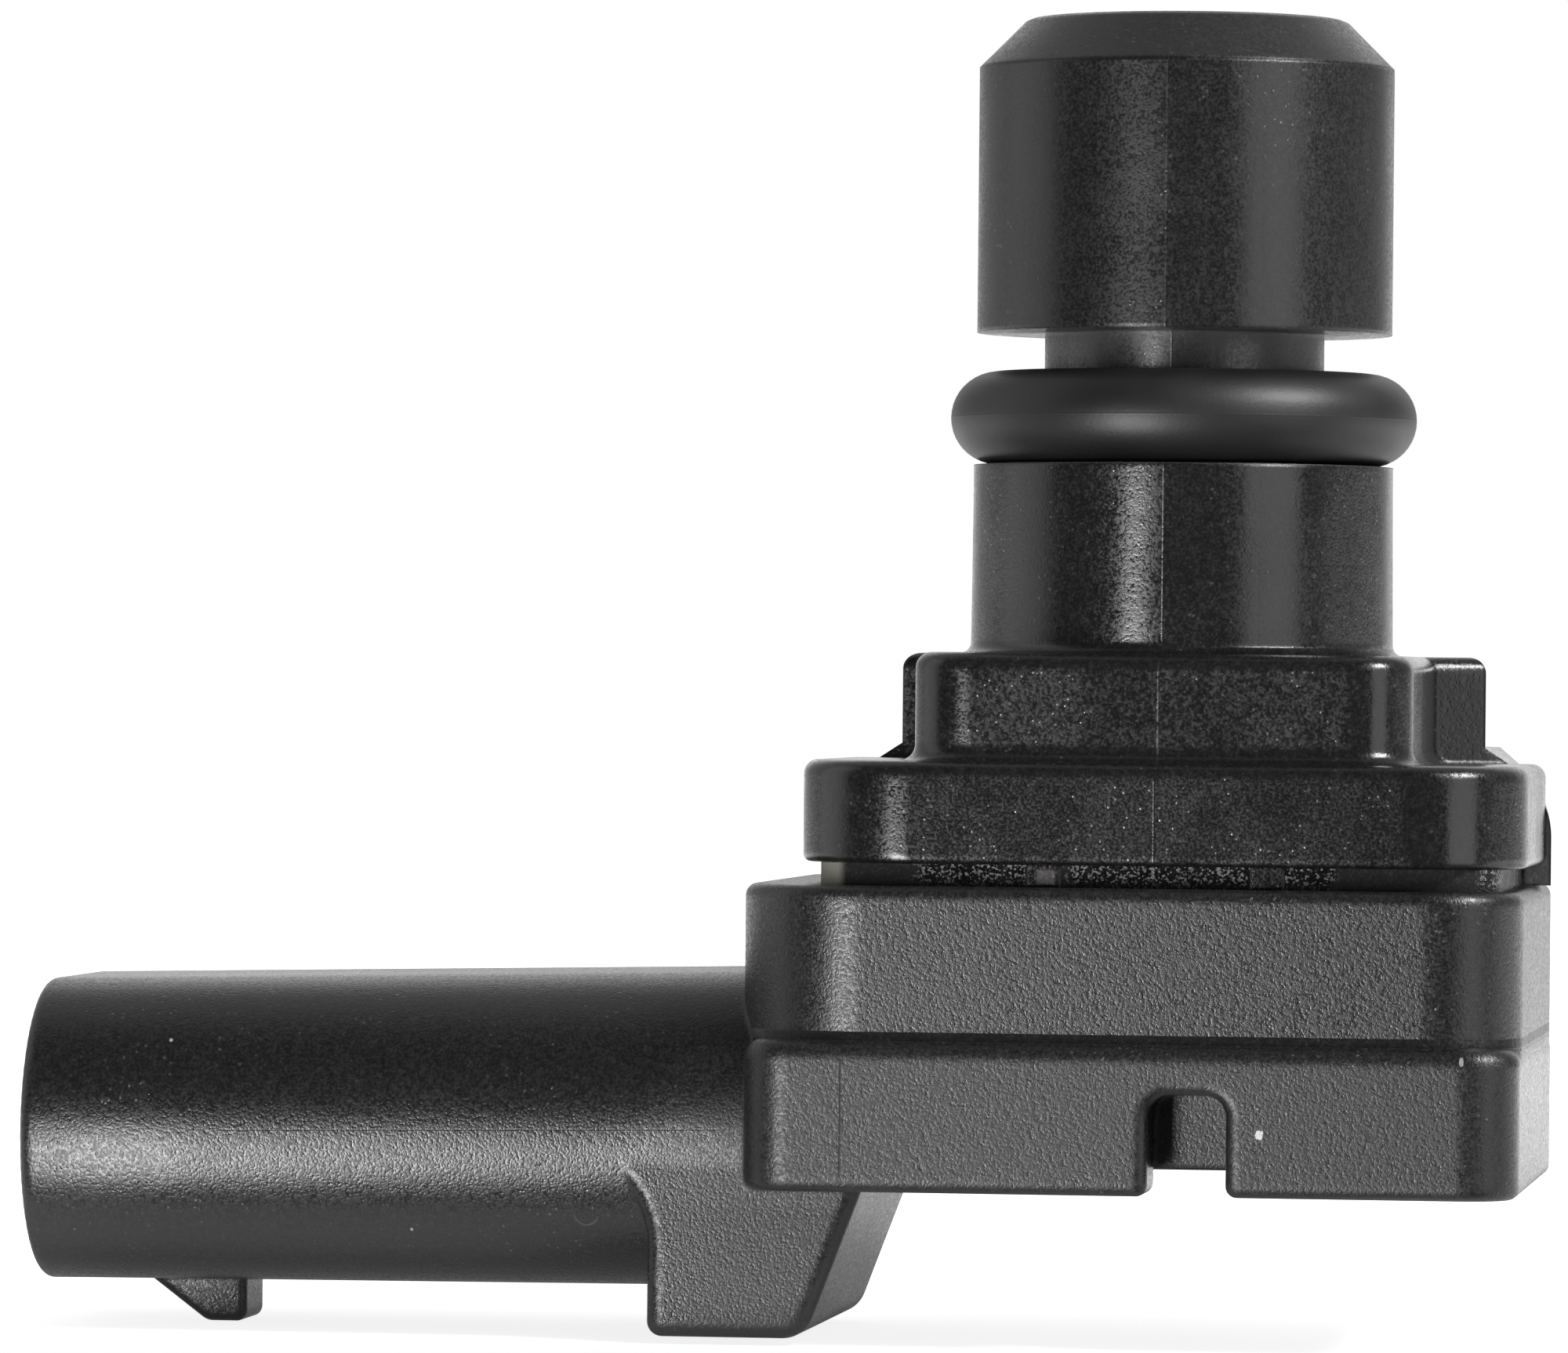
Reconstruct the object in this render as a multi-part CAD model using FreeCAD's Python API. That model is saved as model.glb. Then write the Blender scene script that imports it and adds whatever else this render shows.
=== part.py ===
import FreeCAD, Part
import math
import os

from FreeCAD import Vector

# Manifold absolute pressure sensor, in millimetres.
# The origin is on the axis of the pressure port, in the plane of the raised pad that seats on
# the manifold. +Z points out along the port, -X towards the electrical connector, and +Y
# towards the mounting ear.

# Pressure port
port_foot_radius = 5.98
port_shoulder_radius = 5.94
port_shoulder_height = 5.33
groove_radius = 3.96
groove_width = 3.75
nose_radius = 5.88
port_length = 17.97
nose_chamfer = 1.37
nose_edge_setback = 0.1
port_foot_round = 0.3
inlet_radius = 3.7
inlet_depth = 6.4
channel_radius = 2.4
foot_core_radius = 3.9
foot_core_roof = 1.7

# Seal ring
seal_section = 2.62
seal_clearance = 0.02

# Pressure die, signal chip and the wires between them
die_place = 2.2
die_size = 2.0
die_thickness = 0.5
diaphragm_thickness = 0.12
diaphragm_size = 0.8
die_cavity_size = 1.4
pedestal_height = 0.9
die_glue_thickness = 0.1
die_glue_margin = 0.12
chip_gap = 1.0
chip_length = 1.8
chip_width = 2.6
chip_thickness = 0.4
chip_place = die_place - (die_size + chip_length) / 2 - chip_gap
wire_radius = 0.1
wire_rise = 0.45
wire_pitch = 0.55
wire_bend = 0.22
wire_inset = 0.25
wire_landing = 0.5
die_wire_count = 4
chip_wire_count = 5

# Gel dam round the die and the chip
dam_gap_left = 1.1
dam_gap_right = 0.7
dam_wall = 0.7
dam_height = 2.7
dam_corner = 0.9
gel_freeboard = 0.35
dam_left = dam_wall + dam_gap_left + chip_length / 2 - chip_place
dam_right = die_place + die_size / 2 + dam_gap_right + dam_wall

# Ceramic board and its capacitors
board_margin_left = 2.2
board_margin_right = 1.8
board_margin_side = 1.7
substrate_thickness = 0.8
glue_thickness = 0.15
substrate_left = dam_left + board_margin_left
substrate_right = dam_right + board_margin_right
capacitor_length = 1.6
capacitor_width = 0.8
capacitor_pitch = 4.0
capacitor_middle = 0.4
capacitor_cap = 0.32
capacitor_relief = 0.04

# Electronics cavity in the housing, with room for the terminal tabs on the left
tab_gap = 0.9
tab_reach = 1.7
cavity_gap_right = 1.2
cavity_gap_side = 1.0
cavity_depth = 5.3
cavity_corner = 1.5
cavity_least_corner = 0.2
cavity_left = substrate_left + tab_gap + tab_reach
cavity_right = substrate_right + cavity_gap_right

# Joint between the port cover and the housing
joint_gap = 0.62
spacer_width = 0.95
spacer_depth = 0.7
spacer_pitch = 6.2
bead_inset = 0.65
bead_corner = 1.4
bead_width_right = 1.88
bead_width_front = 1.15
bead_width_back = 2.15
rim_depth = 1.6
rim_wall = 1.2
rim_clearance = 0.12

# Seating pad and flange of the port cover
pad_margin_side = 0.97
pad_margin_front = 1.02
pad_height = 3.03
pad_corner = 1.7
pad_edge_round = 0.45
pad_foot_round = 0.45
pad_half_width = port_foot_radius + pad_margin_side
pad_front = port_foot_radius + pad_margin_front
flange_thickness = 2.85
flange_corner = 3.3
flange_edge_round = 0.4
flange_lower_round = 0.2
flange_pocket_depth = 1.3
flange_step = 1.0
flange_half_width = cavity_right + bead_width_right + bead_inset
flange_front = pad_front + flange_step

# Depths across the port, worked inwards from the flange to the dam
cavity_half_depth = flange_front - bead_inset - bead_width_front
substrate_half_depth = cavity_half_depth - cavity_gap_side
dam_half_depth = substrate_half_depth - board_margin_side
capacitor_row = (dam_half_depth + substrate_half_depth) / 2

# Mounting ear and its steel sleeve
ear_front = 3.8
ear_shoulder_inset = 1.91
ear_root_step = 0.18
ear_shoulder_drop = 2.6
ear_shoulder_round = 2.4
ear_shoulder_angle = 57.0
ear_root_half_width = flange_half_width + ear_root_step
ear_half_width = ear_root_half_width - ear_shoulder_inset
bolt_offset = 17.0
bolt_hole_radius = 3.3
sleeve_wall = 1.4
ear_wall = 1.8
sleeve_proud = 0.05
sleeve_chamfer = 0.25

# Housing body and skirt
body_root_wall = 3.5
body_setback = 0.02
body_step = 0.6
body_height = 4.25
body_corner_left = 3.6
body_corner_right = 2.6
body_corner_back = 1.6
body_edge_round = 0.35
body_left = cavity_left + body_root_wall
body_right = flange_half_width - body_setback
body_front = flange_front + body_step
body_back = cavity_half_depth + bead_width_back + bead_inset
skirt_step_left = -0.35
skirt_step_right = 0.02
skirt_step_front = 0.4
skirt_step_back = 0.1
skirt_height = 4.2
skirt_corner_left = 1.3
skirt_corner_right = 1.6
skirt_upper_round = 0.54
skirt_lower_round = 0.32
skirt_heel_round = skirt_corner_right
skirt_rim = 2.1
skirt_recess = 0.73
skirt_hollow_corner = 0.6
skirt_left = body_left + skirt_step_left
skirt_right = body_right + skirt_step_right
skirt_front = body_front + skirt_step_front
skirt_back = body_back + skirt_step_back
notch_offset = 1.06
notch_width = 2.16
notch_height = 2.8
notch_corner = 0.6

# Connector shroud
mouth_reach = 31.93
mouth_drop = 13.75
mouth_radius = 4.26
shroud_root_drop = 13.47
shroud_root_growth = 0.17
shroud_straight = 3.17
shroud_wall = 1.15
shroud_edge_round = 0.3
shroud_root_lap = 1.0
shroud_root_radius = mouth_radius + shroud_root_growth
socket_lead_in = 0.35
socket_draft = 0.06
socket_depth = 13.8
key_rib_width = 0.9
key_rib_height = 0.7
key_rib_offset = 2.4
key_rib_start = 2.5

# Latch wedge below the shroud
latch_set_in = 2.58
latch_ramp = 1.7
latch_land = 1.15
latch_width = 2.8
latch_height = 1.28
latch_crest_round = 0.5
latch_back_round = 0.3
latch_side_round = 0.21
latch_root = 0.5
latch_start = mouth_reach - latch_set_in
latch_crest = latch_start - latch_ramp
latch_back = latch_crest - latch_land

# Neck block that stiffens the shroud against the housing
neck_reach = 2.41
neck_width = 4.42
neck_drop = 4.18
neck_lean = 0.378
neck_front_step = 0.1
neck_back = 5.2
neck_root_lap = 0.3
neck_edge_round = 0.42
neck_heel_round = 0.9
neck_sweep_radius = 2.6
neck_sweep_angle = 60.0
neck_sweep_rise = 2.53
neck_left = body_left + neck_reach
neck_foot_right = neck_left - neck_width
neck_front = shroud_straight + shroud_root_radius - neck_front_step

# Terminals
blade_width = 1.5
blade_thickness = 0.64
blade_pitch = 4.0
blade_recess = 6.4
blade_bend = 0.5
blade_tip_chamfer = 0.2
riser_cover = 1.7
blade_riser = cavity_left + riser_cover
blade_tab_end = cavity_left - tab_reach

# How far a cutting form runs past the face it opens, and how closely edges are picked out
overrun = 1.0
pick_margin = 0.01
level_margin = 0.0001

# Levels worked out from the sizes above
flange_top = -pad_height
flange_bottom = flange_top - flange_thickness
joint_level = flange_bottom - joint_gap
body_bottom = joint_level - body_height
skirt_bottom = body_bottom - skirt_height
cavity_floor = joint_level - cavity_depth
underside = skirt_bottom + skirt_recess
mouth_axis = -mouth_drop
root_axis = -shroud_root_drop
shroud_underside = mouth_drop + mouth_radius
substrate_base = cavity_floor + glue_thickness
substrate_top = substrate_base + substrate_thickness
die_base = substrate_top + die_glue_thickness + pedestal_height
die_top = die_base + die_thickness
chip_top = substrate_top + chip_thickness
tab_top = cavity_floor + blade_thickness
sleeve_radius = bolt_hole_radius + sleeve_wall
ear_radius = sleeve_radius + ear_wall
neck_bottom = skirt_bottom - neck_drop
neck_sweep_level = neck_bottom + neck_sweep_rise
up = Vector(0, 0, 1)


def edge_loop(edges):
    """A closed face from edges given in any order."""
    return Part.Face(Part.Wire(Part.__sortEdges__(edges)))


def corner_points(corner, before, after, radius):
    """Where a round of the given radius leaves and meets the two lines at a corner."""
    back = (before - corner).normalize()
    ahead = (after - corner).normalize()
    turn = math.pi - back.getAngle(ahead)
    reach = radius * math.tan(turn / 2)
    middle = (back + ahead).normalize() * (radius / math.cos(turn / 2) - radius)
    return corner + back * reach, corner + middle, corner + ahead * reach


def rounded_edges(points, radii, closed):
    """Straight runs through the points, with an arc of its own radius at each corner."""
    count = len(points)
    places = range(count) if closed else range(1, count - 1)
    rounds = {}
    for i in places:
        if radii[i] > 0:
            rounds[i] = corner_points(points[i], points[i - 1], points[(i + 1) % count], radii[i])
        else:
            rounds[i] = (points[i], points[i], points[i])
    edges = []
    for i in range(count if closed else count - 1):
        following = (i + 1) % count
        start = rounds[i][2] if i in rounds else points[i]
        end = rounds[following][0] if following in rounds else points[following]
        if (end - start).Length > level_margin:
            edges.append(Part.makeLine(start, end))
        if following in rounds and radii[following] > 0:
            edges.append(Part.Arc(*rounds[following]).toShape())
    return edges


def outline_face(points, radii):
    """A flat face inside a closed outline with rounded corners."""
    return edge_loop(rounded_edges(points, radii, True))


def plan_block(left, right, front, back, bottom, top, radii):
    """An upright block whose four plan corners have their own radii.

    The radii go front left, front right, back right, back left."""
    points = [
        Vector(left, front, bottom),
        Vector(right, front, bottom),
        Vector(right, back, bottom),
        Vector(left, back, bottom),
    ]
    return outline_face(points, radii).extrude(Vector(0, 0, top - bottom))


def box_between(left, right, front, back, bottom, top):
    return Part.makeBox(right - left, back - front, top - bottom, Vector(left, front, bottom))


def edges_at_level(shape, level):
    """The edges that lie in one horizontal plane."""
    chosen = []
    for edge in shape.Edges:
        box = edge.BoundBox
        if abs(box.ZMin - level) < level_margin and abs(box.ZMax - level) < level_margin:
            chosen.append(edge)
    return chosen


def swept(points, bend, section):
    """A section carried along a path with rounded bends."""
    radii = [bend] * len(points)
    path = Part.Wire(rounded_edges(points, radii, False))
    return path.makePipeShell([section], True, False)


def revolved(profile):
    """A turned form about the port axis, from radius and height pairs."""
    points = [Vector(radius, 0, height) for radius, height in profile]
    face = Part.Face(Part.makePolygon(points + [points[0]]))
    return face.revolve(Vector(0, 0, 0), up, 360)


def drafted_slot(start, end, start_radius, end_radius, straight):
    """A slot-shaped bar that tapers evenly from one point on its axis to the other.

    Two cones stand side by side across the connector, with a wedge between them. The straight
    is how far each cone lies from the middle."""
    along = end - start
    length = along.Length
    along.normalize()
    upward = along.cross(Vector(0, 1, 0)) * -1
    corners = [
        start + upward * start_radius,
        start + along * length + upward * end_radius,
        start + along * length - upward * end_radius,
        start - upward * start_radius,
    ]
    wedge = outline_face([corner - Vector(0, straight, 0) for corner in corners], [0] * 4)
    bar = wedge.extrude(Vector(0, 2 * straight, 0))
    cones = []
    for side in (-straight, straight):
        cones.append(Part.makeCone(start_radius, end_radius, length, start + Vector(0, side, 0), along))
    return bar.fuse(cones).removeSplitter()


def port_tube():
    """The spigot with its seal groove and chamfered nose, still solid."""
    groove_top = port_shoulder_height + groove_width
    face_radius = nose_radius - nose_chamfer
    diagonal = nose_edge_setback * math.sqrt(0.5)
    profile = [
        (0, flange_top),
        (port_foot_radius, flange_top),
        (port_foot_radius, 0),
        (port_shoulder_radius, port_shoulder_height),
        (groove_radius, port_shoulder_height),
        (groove_radius, groove_top),
        (nose_radius, groove_top),
        (nose_radius, port_length - nose_chamfer),
        (face_radius + diagonal, port_length - diagonal),
        (face_radius - nose_edge_setback, port_length),
        (0, port_length),
    ]
    return revolved(profile)


def port_passage():
    """The air way from the nose down to the chamber under the flange."""
    core_top = port_shoulder_height - foot_core_roof
    inlet_floor = port_length - inlet_depth
    channel_length = inlet_floor - core_top + 2 * overrun
    core_length = core_top - flange_bottom + overrun
    inlet = Part.makeCylinder(inlet_radius, inlet_depth + overrun, Vector(0, 0, inlet_floor))
    channel = Part.makeCylinder(channel_radius, channel_length, Vector(0, 0, core_top - overrun))
    core = Part.makeCylinder(foot_core_radius, core_length, Vector(0, 0, flange_bottom - overrun))
    return inlet.fuse([channel, core])


def shoulder_section():
    """The ear's lower part seen from the front: shoulders that flare out to the joint."""
    angle = math.radians(ear_shoulder_angle)
    half = angle / 2
    centre = ear_root_half_width - ear_shoulder_round
    knee = centre + ear_shoulder_round * math.cos(angle)
    knee_level = -ear_shoulder_drop - (knee - ear_half_width) / math.tan(angle)
    round_level = knee_level - ear_shoulder_round * math.sin(angle)
    middle = centre + ear_shoulder_round * math.cos(half)
    middle_level = round_level + ear_shoulder_round * math.sin(half)
    edges = [
        Part.makeLine(
            Vector(-ear_half_width, ear_front, -ear_shoulder_drop),
            Vector(ear_half_width, ear_front, -ear_shoulder_drop),
        ),
        Part.makeLine(
            Vector(-ear_root_half_width, ear_front, joint_level),
            Vector(ear_root_half_width, ear_front, joint_level),
        ),
    ]
    for side in (1, -1):
        top_corner = Vector(side * ear_half_width, ear_front, -ear_shoulder_drop)
        knee_point = Vector(side * knee, ear_front, knee_level)
        round_point = Vector(side * middle, ear_front, middle_level)
        round_end = Vector(side * ear_root_half_width, ear_front, round_level)
        foot = Vector(side * ear_root_half_width, ear_front, joint_level)
        edges.append(Part.makeLine(top_corner, knee_point))
        edges.append(Part.Arc(knee_point, round_point, round_end).toShape())
        edges.append(Part.makeLine(round_end, foot))
    return edge_loop(edges)


def ear_plan(half_width, bottom, top):
    """A block that tapers from a width at the pad to the tangent of the bolt boss."""
    reach = bolt_offset - ear_front
    distance = math.hypot(half_width, reach)
    turn = math.atan2(half_width, reach) + math.acos(ear_radius / distance)
    touch_x = ear_radius * math.sin(turn)
    touch_y = bolt_offset - ear_radius * math.cos(turn)
    corners = [
        Vector(-half_width, ear_front, bottom),
        Vector(half_width, ear_front, bottom),
        Vector(touch_x, touch_y, bottom),
        Vector(-touch_x, touch_y, bottom),
    ]
    return outline_face(corners, [0] * 4).extrude(Vector(0, 0, top - bottom))


def mounting_ear():
    """The ear that narrows from the pad to the round boss of the bolt."""
    shoulders = shoulder_section().extrude(Vector(0, bolt_offset - ear_front, 0))
    root = ear_plan(ear_root_half_width, joint_level, -ear_shoulder_drop).common(shoulders)
    block = ear_plan(ear_half_width, joint_level, 0)
    boss = Part.makeCylinder(ear_radius, -joint_level, Vector(0, bolt_offset, joint_level))
    return block.fuse([root, boss]).removeSplitter()


def bead_ring(bottom, top):
    """The closed run of adhesive round the cavity, before the spacers are taken out."""
    left = -flange_half_width + bead_inset
    right = flange_half_width - bead_inset
    front = -flange_front + bead_inset
    back = body_back - bead_inset
    outer = plan_block(left, right, front, back, bottom, top, [bead_corner] * 4)
    inner = cavity_block(bottom - overrun, top + overrun, 0)
    return outer.cut(inner)


def cavity_block(bottom, top, inset):
    """The plan of the electronics cavity, drawn in by a clearance or a wall."""
    return plan_block(
        -cavity_left + inset,
        cavity_right - inset,
        -cavity_half_depth + inset,
        cavity_half_depth - inset,
        bottom,
        top,
        [max(cavity_corner - inset, cavity_least_corner)] * 4,
    )


def spacer_posts():
    """Small posts under the flange that set the thickness of the adhesive."""
    posts = []
    half = spacer_width / 2
    front = -flange_front + bead_inset
    side_edge = flange_half_width - bead_inset
    for centre in (-spacer_pitch / 2, spacer_pitch / 2):
        posts.append(box_between(
            centre - half,
            centre + half,
            front,
            front + spacer_depth,
            joint_level,
            flange_bottom,
        ))
    for left in (-side_edge, side_edge - spacer_depth):
        posts.append(box_between(left, left + spacer_depth, -half, half, joint_level, flange_bottom))
    return posts


def stepped_front():
    """The flange with the pad on it, ahead of the ear.

    Both are drawn longer and cut back at the ear, so that their rounds run out cleanly."""
    back = ear_front + pad_corner
    flange = plan_block(
        -flange_half_width,
        flange_half_width,
        -flange_front,
        back,
        flange_bottom,
        flange_top,
        [flange_corner, flange_corner, 0, 0],
    )
    flange = flange.makeFillet(flange_edge_round, edges_at_level(flange, flange_top))
    flange = flange.makeFillet(flange_lower_round, edges_at_level(flange, flange_bottom))
    pad = plan_block(
        -pad_half_width,
        pad_half_width,
        -pad_front,
        back - flange_edge_round,
        flange_top,
        0,
        [pad_corner, pad_corner, 0, 0],
    )
    solid = flange.fuse(pad)
    solid = solid.makeFillet(pad_foot_round, pad_foot_edges(solid))
    behind = box_between(
        -flange_half_width - overrun,
        flange_half_width + overrun,
        ear_front,
        back + overrun,
        flange_bottom - overrun,
        overrun,
    )
    return solid.cut(behind)


def pad_foot_edges(solid):
    """The concave edges where the pad rises from the flange."""
    chosen = []
    for edge in edges_at_level(solid, flange_top):
        box = edge.BoundBox
        beside = max(-box.XMin, box.XMax) < pad_half_width + pick_margin
        ahead = -pad_front - pick_margin < box.YMin < ear_front - pick_margin
        if beside and ahead:
            chosen.append(edge)
    return chosen


def port_cover():
    """Port, seating pad, flange and mounting ear, moulded as one piece."""
    solid = mounting_ear().fuse(stepped_front()).removeSplitter()
    solid = solid.makeFillet(pad_edge_round, edges_at_level(solid, 0))
    solid = solid.fuse(port_tube()).removeSplitter()
    solid = solid.makeFillet(port_foot_round, port_foot_edges(solid))
    solid = solid.fuse(cover_rim())
    solid = solid.cut(port_passage())
    pocket_inset = rim_wall + rim_clearance
    pocket_top = flange_bottom + flange_pocket_depth
    solid = solid.cut(cavity_block(joint_level - rim_depth - overrun, pocket_top, pocket_inset))
    solid = solid.cut(bead_ring(joint_level - overrun, flange_bottom))
    solid = solid.fuse(spacer_posts())
    hole_base = Vector(0, bolt_offset, joint_level - overrun)
    hole = Part.makeCylinder(sleeve_radius, 2 * overrun - joint_level, hole_base)
    return solid.cut(hole).removeSplitter()


def port_foot_edges(solid):
    """The concave circle where the port rises from the pad."""
    chosen = []
    for edge in edges_at_level(solid, 0):
        box = edge.BoundBox
        if abs(box.XMax - box.XMin - 2 * port_foot_radius) < pick_margin:
            chosen.append(edge)
    return chosen


def cover_rim():
    """The lip below the flange that drops into the cavity and centres the cover."""
    rim_bottom = joint_level - rim_depth
    return cavity_block(rim_bottom, flange_bottom, rim_clearance)


def port_seal_ring():
    """The ring seal, resting on the lower shoulder of its groove."""
    ring_radius = groove_radius + seal_clearance + seal_section / 2
    level = port_shoulder_height + seal_clearance + seal_section / 2
    return Part.makeTorus(ring_radius, seal_section / 2, Vector(0, 0, level))


def mounting_sleeve():
    """The steel sleeve that takes the load of the bolt."""
    bottom = joint_level - sleeve_proud
    length = sleeve_proud - joint_level
    base = Vector(0, bolt_offset, bottom)
    tube = Part.makeCylinder(sleeve_radius, length, base)
    tube = tube.cut(Part.makeCylinder(bolt_hole_radius, length, base))
    ends = edges_at_level(tube, bottom) + edges_at_level(tube, 0)
    return tube.makeChamfer(sleeve_chamfer, ends)


def cover_adhesive():
    """The bead that glues the cover to the housing."""
    return bead_ring(joint_level, flange_bottom).cut(spacer_posts()).removeSplitter()


def housing_body():
    """The upright body and the skirt that stands slightly proud of it."""
    lap = skirt_upper_round
    body = plan_block(
        -body_left,
        body_right,
        -body_front,
        body_back,
        body_bottom - lap,
        joint_level,
        [body_corner_left, body_corner_right, body_corner_back, body_corner_back],
    )
    body = body.makeFillet(body_edge_round, edges_at_level(body, joint_level))
    skirt = skirt_block()
    skirt = skirt.makeFillet(skirt_upper_round, edges_at_level(skirt, body_bottom))
    skirt = skirt.cut([skirt_hollow(), skirt_notch()])
    skirt = skirt.makeFillet(skirt_lower_round, lower_rim_edges(skirt))
    return body.fuse(skirt)


def skirt_block():
    """The skirt's outer form: rounded corners in plan and a rounded heel at the back."""
    upright = plan_block(
        -skirt_left,
        skirt_right,
        -skirt_front,
        skirt_back,
        skirt_bottom,
        body_bottom,
        [skirt_corner_left, skirt_corner_right, skirt_corner_right, skirt_corner_right],
    )
    left = -skirt_left - overrun
    front = -skirt_front - overrun
    side = [
        Vector(left, front, skirt_bottom),
        Vector(left, skirt_back, skirt_bottom),
        Vector(left, skirt_back, body_bottom),
        Vector(left, front, body_bottom),
    ]
    long_block = outline_face(side, [0, skirt_heel_round, 0, 0])
    return upright.common(long_block.extrude(Vector(skirt_left + skirt_right + 2 * overrun, 0, 0)))


def lower_rim_edges(skirt):
    """The lower edges of the skirt outside and round the notch, without the hollow's."""
    left = notch_offset - notch_width / 2 - pick_margin
    right = notch_offset + notch_width / 2 + pick_margin
    chosen = []
    for edge in skirt.Edges:
        box = edge.BoundBox
        middle = edge.valueAt((edge.FirstParameter + edge.LastParameter) / 2)
        low = abs(box.ZMax - skirt_bottom) < level_margin
        at_left = middle.x < -skirt_left + skirt_corner_left
        at_right = middle.x > skirt_right - skirt_corner_right
        at_front = middle.y < -skirt_front + skirt_corner_left
        in_notch = left < middle.x < right
        notch_outline = in_notch and box.YMax < -skirt_front + pick_margin
        notch_foot = in_notch and low and middle.y < -skirt_front + skirt_rim - pick_margin
        outer_rim = low and (at_left or at_right or at_front)
        if outer_rim or notch_outline or notch_foot:
            chosen.append(edge)
    return chosen


def skirt_hollow():
    """The shallow recess that the skirt leaves under the floor."""
    return plan_block(
        -skirt_left + skirt_rim,
        skirt_right - skirt_rim,
        -skirt_front + skirt_rim,
        skirt_back - skirt_rim,
        skirt_bottom - overrun,
        underside,
        [skirt_hollow_corner] * 4,
    )


def skirt_notch():
    """The open notch in the front of the skirt."""
    left = notch_offset - notch_width / 2
    right = notch_offset + notch_width / 2
    top = skirt_bottom + notch_height
    low = skirt_bottom - overrun
    front = -skirt_front - overrun
    points = [
        Vector(left, front, low),
        Vector(right, front, low),
        Vector(right, front, top),
        Vector(left, front, top),
    ]
    face = outline_face(points, [0, 0, notch_corner, notch_corner])
    return face.extrude(Vector(0, skirt_rim + overrun, 0))


def shroud():
    """The slot-shaped connector shroud, with draft towards its mouth."""
    mouth = Vector(-mouth_reach, 0, mouth_axis)
    root = Vector(-body_left + shroud_root_lap, 0, root_axis)
    reach = root - mouth
    beyond = overrun / reach.x
    start = mouth - reach * beyond
    start_radius = mouth_radius - (shroud_root_radius - mouth_radius) * beyond
    outer = drafted_slot(start, root, start_radius, shroud_root_radius, shroud_straight)
    ahead = box_between(
        start.x - overrun,
        -mouth_reach,
        -shroud_straight - mouth_radius - overrun,
        shroud_straight + mouth_radius + overrun,
        mouth_axis - mouth_radius - overrun,
        mouth_axis + mouth_radius + overrun,
    )
    outer = outer.cut(ahead)
    rim = [edge for edge in outer.Edges if edge.BoundBox.XMax < -mouth_reach + pick_margin]
    return outer.makeFillet(shroud_edge_round, rim)


def socket():
    """The hollow of the shroud that takes the mating plug."""
    radius = mouth_radius - shroud_wall
    floor = -mouth_reach + socket_depth
    mouth = Vector(-mouth_reach, 0, mouth_axis)
    hollow = drafted_slot(mouth, Vector(floor, 0, mouth_axis), radius, radius - socket_draft, shroud_straight)
    lead_in = drafted_slot(
        mouth - Vector(socket_lead_in, 0, 0),
        mouth + Vector(socket_lead_in, 0, 0),
        radius + 2 * socket_lead_in,
        radius,
        shroud_straight,
    )
    ribs = []
    for side in (-1, 1):
        centre = side * key_rib_offset
        ribs.append(box_between(
            -mouth_reach + key_rib_start,
            floor + overrun,
            centre - key_rib_width / 2,
            centre + key_rib_width / 2,
            mouth_axis + radius - key_rib_height,
            mouth_axis + radius + overrun,
        ))
    return hollow.fuse(lead_in).cut(ribs)


def latch_wedge():
    """The ramp under the shroud that the plug's latch snaps over."""
    low = -shroud_underside - latch_height
    high = -shroud_underside + latch_root
    front = -latch_width / 2
    points = [
        Vector(-latch_start, front, high),
        Vector(-latch_start, front, -shroud_underside),
        Vector(-latch_crest, front, low),
        Vector(-latch_back, front, low),
        Vector(-latch_back, front, high),
    ]
    face = outline_face(points, [0, 0, latch_crest_round, latch_back_round, 0])
    wedge = face.extrude(Vector(0, latch_width, 0))
    sides = []
    for edge in wedge.Edges:
        box = edge.BoundBox
        flat = box.YMax - box.YMin < level_margin
        lower = box.ZMin < -shroud_underside - pick_margin
        if flat and lower:
            sides.append(edge)
    return wedge.makeFillet(latch_side_round, sides)


def neck_block():
    """The block under the shroud's root, flush with its near side."""
    top = underside + neck_root_lap
    angle = math.radians(neck_sweep_angle)
    half = angle / 2
    centre = -neck_left - neck_sweep_radius
    sweep_start = Vector(-neck_left, -neck_front, neck_sweep_level)
    sweep_middle = Vector(
        centre + neck_sweep_radius * math.cos(half),
        -neck_front,
        neck_sweep_level + neck_sweep_radius * math.sin(half),
    )
    sweep_end = Vector(
        centre + neck_sweep_radius * math.cos(angle),
        -neck_front,
        neck_sweep_level + neck_sweep_radius * math.sin(angle),
    )
    corners = [
        sweep_start,
        Vector(-neck_left, -neck_front, neck_bottom),
        Vector(-neck_foot_right, -neck_front, neck_bottom),
        Vector(-neck_foot_right + neck_lean * (top - neck_bottom), -neck_front, top),
        Vector(sweep_end.x, -neck_front, top),
        sweep_end,
    ]
    edges = rounded_edges(corners, [0, neck_edge_round, neck_heel_round, 0, 0, 0], False)
    edges.append(Part.Arc(sweep_end, sweep_middle, sweep_start).toShape())
    block = edge_loop(edges).extrude(Vector(0, neck_front + neck_back, 0))
    rim = []
    for edge in block.Edges:
        box = edge.BoundBox
        flat = box.YMax - box.YMin < level_margin
        buried = box.ZMax - box.ZMin < level_margin and box.ZMin > top - pick_margin
        short = box.XMax < sweep_end.x + pick_margin
        if flat and not buried and not short:
            rim.append(edge)
    return block.makeFillet(neck_edge_round, rim)


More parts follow.
